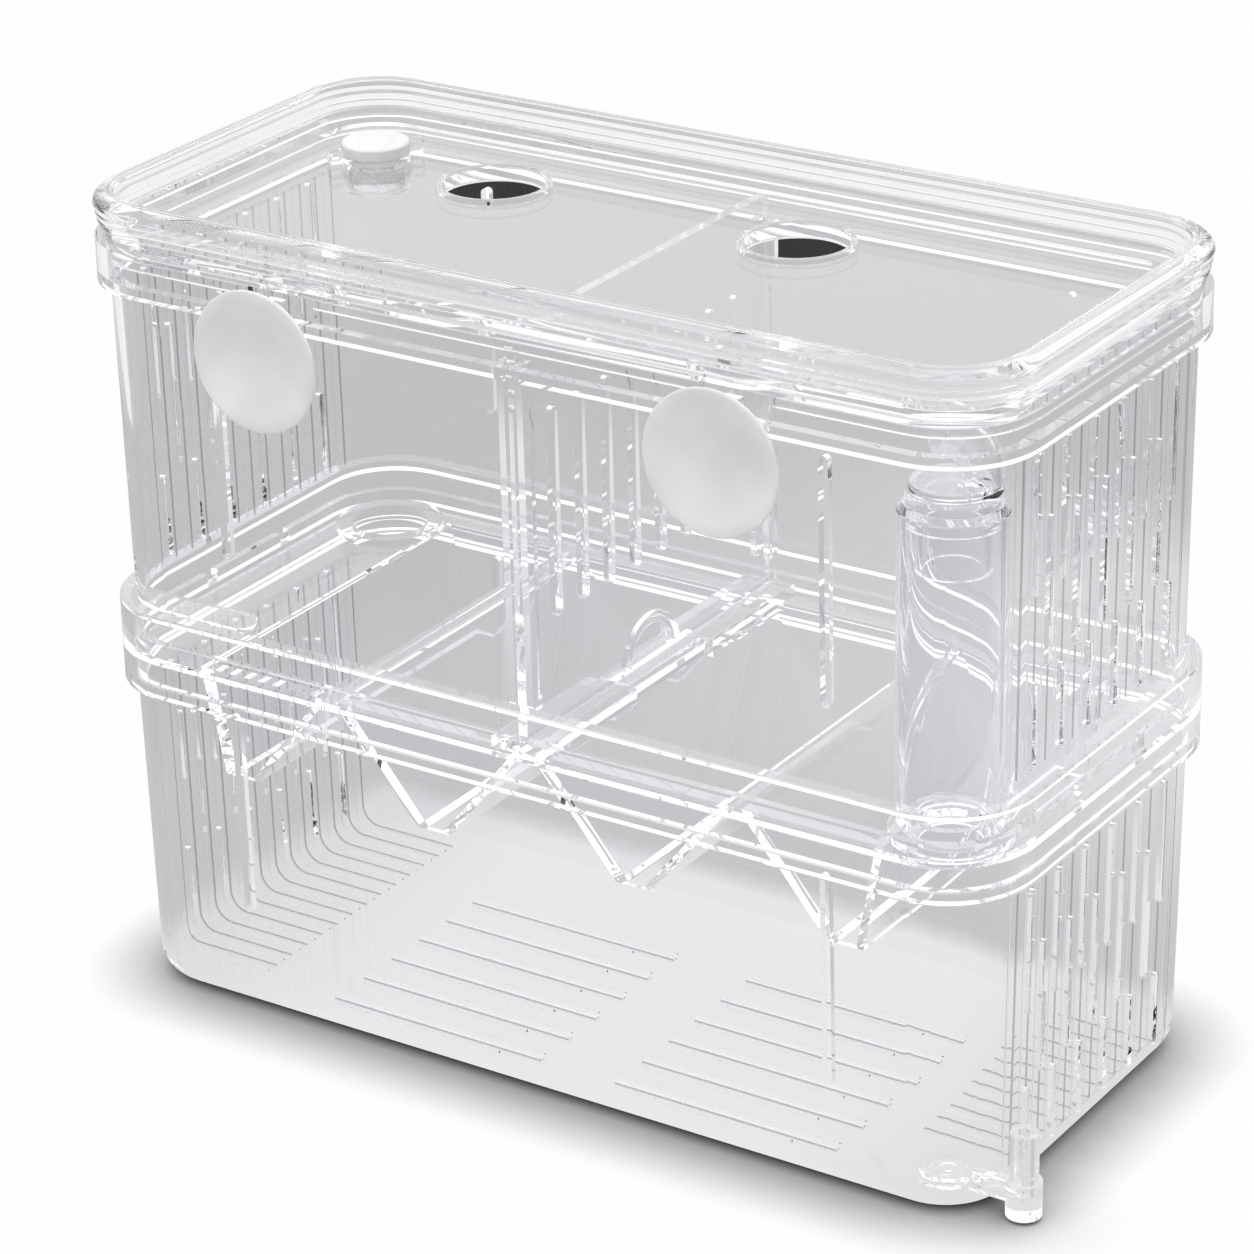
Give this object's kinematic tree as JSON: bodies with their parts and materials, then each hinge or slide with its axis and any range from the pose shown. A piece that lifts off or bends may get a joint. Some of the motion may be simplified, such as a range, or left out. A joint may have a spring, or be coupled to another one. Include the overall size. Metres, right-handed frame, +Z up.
{
  "type": "fish breeding box",
  "caption": "Clear stacked aquarium breeding box with a troughed spawning tray, a divider, an air-lift riser, a lid with feeding holes, and suction cups.",
  "frame": {"origin": "centre of the flat underside that the lower tank rests on", "axes": "+X along the box towards the riser's end, -Y towards the suction cups, +Z up"},
  "size_m": [0.2048, 0.1032, 0.1648],
  "materials": {
    "clear_plastic": "clear, polished",
    "frosted_silicone": "translucent white, satin"
  },
  "bodies": {
    "lower_tank": {"lower_tank": "clear_plastic", "air_nozzle": "clear_plastic", "air_diffuser": "clear_plastic"},
    "tray": {"spawning_tray": "clear_plastic", "tray_handle": "clear_plastic"},
    "upper_tank": {"upper_tank": "clear_plastic"},
    "divider": {"divider": "clear_plastic"},
    "riser": {"riser_tube": "clear_plastic", "riser_cap": "clear_plastic"},
    "outlet": {"outlet_spout": "clear_plastic"},
    "lid": {"lid": "clear_plastic"},
    "plug": {"lid_plug": "frosted_silicone"},
    "cup_left": {"suction_cup_left": "frosted_silicone"},
    "cup_right": {"suction_cup_right": "frosted_silicone"}
  },
  "joints": [
    {"name": "upper_tank_lift", "type": "slide", "parent": "lower_tank", "child": "upper_tank", "axis": [0, 0, 1], "range_m": [0, 0.1]},
    {"name": "tray_lift", "type": "slide", "parent": "lower_tank", "child": "tray", "axis": [0, 0, 1], "range_m": [0, 0.05]},
    {"name": "riser_lift", "type": "slide", "parent": "tray", "child": "riser", "axis": [0, 0, 1], "range_m": [0, 0.02]},
    {"name": "outlet_turn", "type": "hinge", "parent": "riser", "child": "outlet", "pos_m": [0.084, -0.032, 0.136], "axis": [0, 0, 1], "continuous": true},
    {"name": "lid_lift", "type": "slide", "parent": "upper_tank", "child": "lid", "axis": [0, 0, 1], "range_m": [0, 0.1]},
    {"name": "divider_lift", "type": "slide", "parent": "upper_tank", "child": "divider", "axis": [0, 0, 1], "range_m": [0, 0.05]},
    {"name": "plug_pull", "type": "slide", "parent": "lid", "child": "plug", "axis": [0, 0, 1], "range_m": [0, 0.015]},
    {"name": "cup_left_slide", "type": "slide", "parent": "upper_tank", "child": "cup_left", "axis": [0, 0, 1], "range_m": [-0.009, 0]},
    {"name": "cup_right_slide", "type": "slide", "parent": "upper_tank", "child": "cup_right", "axis": [0, 0, 1], "range_m": [-0.009, 0]}
  ],
  "couplings": [
    {"joint": "tray_lift", "follows": "upper_tank_lift", "ratio": 0.5},
    {"joint": "riser_lift", "follows": "upper_tank_lift", "ratio": 0.2},
    {"joint": "divider_lift", "follows": "lid_lift", "ratio": 0.5}
  ]
}
